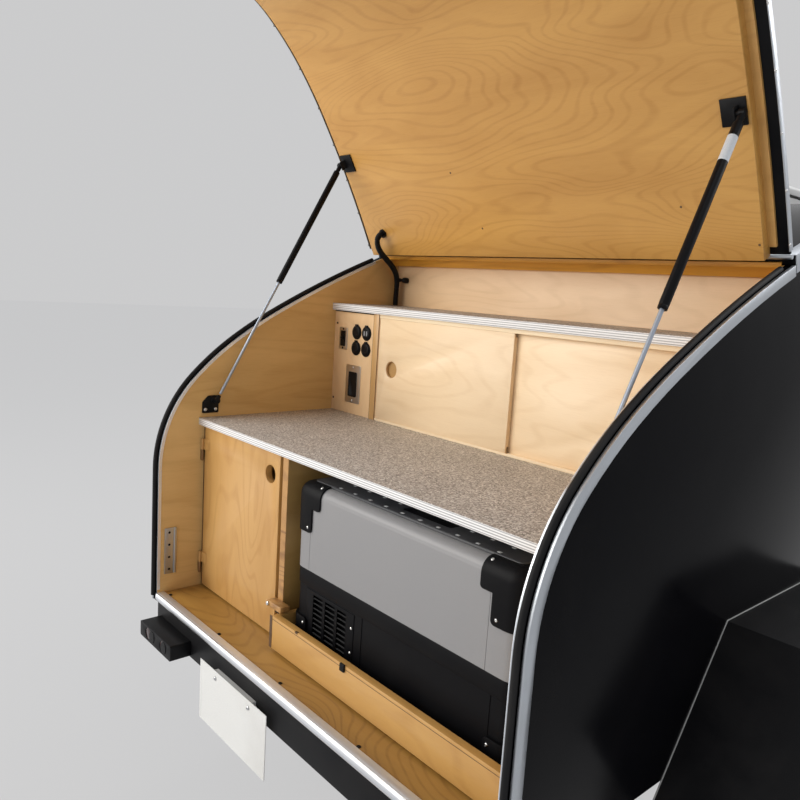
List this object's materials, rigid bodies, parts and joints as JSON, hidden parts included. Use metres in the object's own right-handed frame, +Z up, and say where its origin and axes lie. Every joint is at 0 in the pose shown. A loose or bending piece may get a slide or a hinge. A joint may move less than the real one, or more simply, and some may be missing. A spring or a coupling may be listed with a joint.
{
  "type": "teardrop trailer with rear galley",
  "caption": "Small camping trailer with a rounded sleeping cabin, a rear galley under a raised hatch and an A-frame tongue on a jack.",
  "frame": {"origin": "ground under the middle of the whole trailer, hatch open", "axes": "+X to the right seen from behind, +Y towards the hitch, +Z up"},
  "size_m": [1.749, 3.9589, 2.2168],
  "materials": {
    "wood": "clear satin lacquer on birch ply",
    "black_panel": "black gloss paint on ply",
    "black_shell": "black gloss composite sheet",
    "laminate": "speckled grey-brown laminate",
    "aluminium": "mill finish",
    "black_metal": "black powder coat",
    "steel": "zinc plated",
    "rubber": "matt bulb seal",
    "tyre": "matt",
    "rim": "black satin",
    "fridge_grey": "light grey",
    "fridge_dark": "charcoal",
    "black_plastic": "fine grain",
    "lens": "dark red",
    "white_plate": "blank",
    "glass": "tinted",
    "foam": "woven cover over foam"
  },
  "bodies": {
    "root": {"side_walls": "black_panel", "floor_deck": "wood", "bulkhead": "wood", "roof_spar": "wood", "sill_trim": "aluminium", "roof_shell": "black_shell", "ceiling_board": "wood", "edge_trims": "aluminium", "hatch_seals": "rubber", "hatch_hinge": "aluminium", "galley_counter": "laminate", "galley_shelf": "laminate", "cupboard_divider": "wood", "latch_block": "wood", "control_panel": "wood", "slide_tracks": "wood", "cupboard_hinges": "steel", "slide_rails": "steel", "wall_fittings": "steel", "chassis": "black_metal", "tongue": "black_metal", "coupler": "black_metal", "jack_tube": "steel", "axle": "black_metal", "fenders": "black_metal", "tail_lamps": "black_plastic", "tail_lenses": "lens", "number_plate": "white_plate", "door_frames": "aluminium", "roof_vent": "white_plate", "mattress": "foam", "wire_loom": "black_plastic", "control_fittings": "black_plastic"},
    "hatch": {"hatch_shell": "black_shell", "hatch_lining": "wood", "hatch_trim": "aluminium", "hatch_fittings": "black_metal"},
    "strut_tube_left": {"strut_tube_left": "black_metal"},
    "strut_tube_right": {"strut_tube_right": "black_metal"},
    "strut_rod_left": {"strut_rod_left": "steel"},
    "strut_rod_right": {"strut_rod_right": "steel"},
    "wheel_left": {"wheel_rim_left": "rim", "tyre_left": "tyre"},
    "wheel_right": {"wheel_rim_right": "rim", "tyre_right": "tyre"},
    "cabin_door_left": {"cabin_door_left": "black_panel", "door_window_left": "glass", "door_fittings_left": "aluminium"},
    "cabin_door_right": {"cabin_door_right": "black_panel", "door_window_right": "glass", "door_fittings_right": "aluminium"},
    "cupboard_door": {"cupboard_door": "wood"},
    "sliding_door_left": {"sliding_door_left": "wood"},
    "sliding_door_right": {"sliding_door_right": "wood"},
    "fridge_slide": {"fridge_tray": "wood", "fridge_body": "fridge_grey", "fridge_lid": "fridge_dark", "fridge_guards": "fridge_dark"},
    "jack_leg": {"jack_leg": "steel"},
    "vent_lid": {"vent_lid": "white_plate"}
  },
  "joints": [
    {"name": "hatch_hinge", "type": "hinge", "parent": "root", "child": "hatch", "pos_m": [0, -0.95366, 1.5152], "axis": [-1, 0, 0], "range_deg": [-86, 0], "deforming": ["wire_loom"]},
    {"name": "strut_left_pivot", "type": "hinge", "parent": "hatch", "child": "strut_tube_left", "pos_m": [-0.591, -1.13568, 1.74939], "axis": [-1, 0, 0], "range_deg": [-0.2, 105.61]},
    {"name": "strut_left_stroke", "type": "slide", "parent": "strut_tube_left", "child": "strut_rod_left", "axis": [0, -0.4858, -0.8741], "range_m": [-0.35728, 0.0005]},
    {"name": "strut_right_pivot", "type": "hinge", "parent": "hatch", "child": "strut_tube_right", "pos_m": [0.591, -1.13568, 1.74939], "axis": [-1, 0, 0], "range_deg": [-0.2, 105.61]},
    {"name": "strut_right_stroke", "type": "slide", "parent": "strut_tube_right", "child": "strut_rod_right", "axis": [0, -0.4858, -0.8741], "range_m": [-0.35728, 0.0005]},
    {"name": "wheel_left_spin", "type": "hinge", "parent": "root", "child": "wheel_left", "pos_m": [-0.758, -0.78254, 0.35], "axis": [1, 0, 0], "continuous": true},
    {"name": "wheel_right_spin", "type": "hinge", "parent": "root", "child": "wheel_right", "pos_m": [0.758, -0.78254, 0.35], "axis": [1, 0, 0], "continuous": true},
    {"name": "cabin_door_left_hinge", "type": "hinge", "parent": "root", "child": "cabin_door_left", "pos_m": [-0.6425, 0.27746, 1.05], "axis": [0, 0, -1], "range_deg": [0, 95]},
    {"name": "cabin_door_right_hinge", "type": "hinge", "parent": "root", "child": "cabin_door_right", "pos_m": [0.6425, 0.27746, 1.05], "axis": [0, 0, 1], "range_deg": [0, 95]},
    {"name": "cupboard_door_hinge", "type": "hinge", "parent": "root", "child": "cupboard_door", "pos_m": [-0.6005, -1.54454, 0.78], "axis": [0, 0, -1], "range_deg": [0, 90]},
    {"name": "sliding_door_left_slide", "type": "slide", "parent": "root", "child": "sliding_door_left", "axis": [1, 0, 0], "range_m": [0, 0.5045]},
    {"name": "sliding_door_right_slide", "type": "slide", "parent": "root", "child": "sliding_door_right", "axis": [-1, 0, 0], "range_m": [0, 0.4855]},
    {"name": "fridge_slide", "type": "slide", "parent": "root", "child": "fridge_slide", "axis": [0, -1, 0], "range_m": [0, 0.45]},
    {"name": "jack_screw", "type": "slide", "parent": "root", "child": "jack_leg", "axis": [0, 0, 1], "range_m": [0, 0.25]},
    {"name": "vent_lid_hinge", "type": "hinge", "parent": "root", "child": "vent_lid", "pos_m": [0, 0.23946, 1.78254], "axis": [-1, 0, 0], "range_deg": [0, 60]}
  ],
  "couplings": [
    {"joint": "strut_left_pivot", "follows": "hatch_hinge", "ratio": -1.2257},
    {"joint": "strut_left_stroke", "follows": "hatch_hinge", "m_per_rad": 0.2377},
    {"joint": "strut_right_pivot", "follows": "hatch_hinge", "ratio": -1.2257},
    {"joint": "strut_right_stroke", "follows": "hatch_hinge", "m_per_rad": 0.2377}
  ]
}
